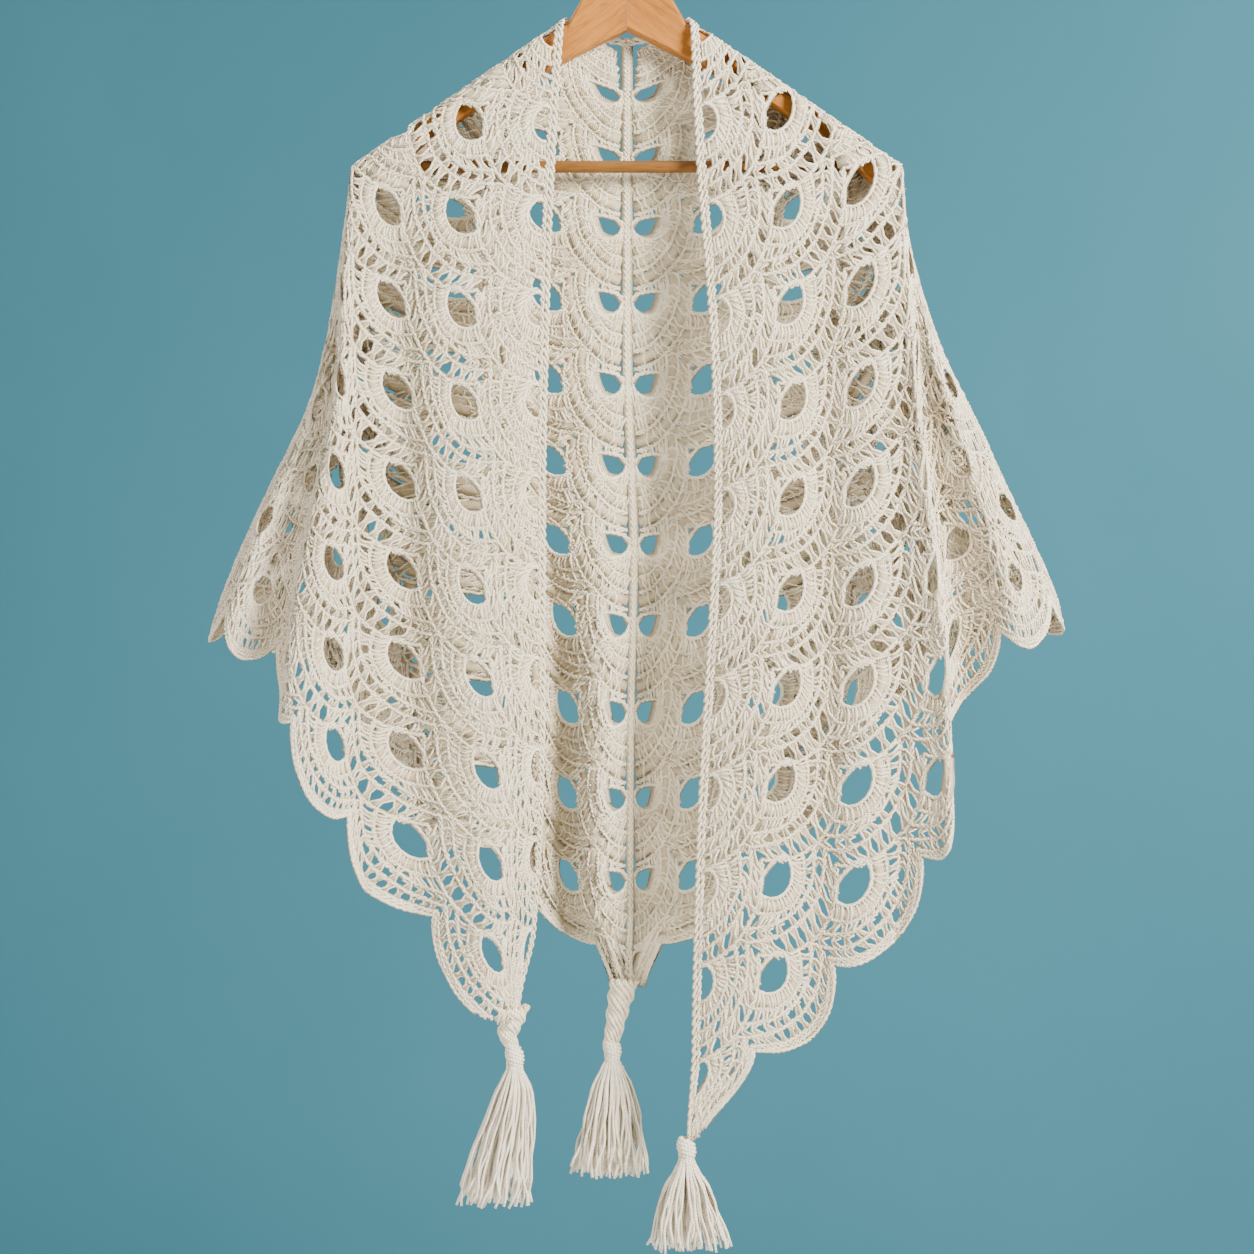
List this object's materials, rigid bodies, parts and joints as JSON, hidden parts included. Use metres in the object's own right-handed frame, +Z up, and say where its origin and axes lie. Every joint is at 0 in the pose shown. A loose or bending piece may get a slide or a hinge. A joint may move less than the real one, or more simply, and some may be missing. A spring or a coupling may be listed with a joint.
{
  "type": "crochet shawl on a wooden hanger",
  "caption": "Triangular cream crochet shawl of shell fans with tasselled corners, hung over the arms of a flat wooden hanger with a trouser bar and a wire hook.",
  "frame": {"origin": "inner top of the hanger's hook, where it hangs on a rail", "axes": "+Z up, the shawl's fronts face -Y, +X to the right seen from the front"},
  "size_m": [0.7144, 0.1394, 1.1222],
  "materials": {
    "cotton": "matt twisted cotton yarn, off-white",
    "wood": "clear-varnished light brown wood",
    "metal": "plain bright wire"
  },
  "bodies": {
    "root": {"shawl_back_left": "cotton", "shawl_back_right": "cotton", "shawl_side_left": "cotton", "shawl_side_right": "cotton", "shawl_front_left": "cotton", "shawl_front_right": "cotton", "twist_left": "cotton", "twist_back": "cotton", "tassel_left": "cotton", "tassel_back": "cotton", "tassel_right": "cotton", "hanger_arm_left": "wood", "hanger_arm_right": "wood", "hanger_bar": "wood", "hanger_hook": "metal", "hanger_collar": "metal"}
  },
  "joints": []
}
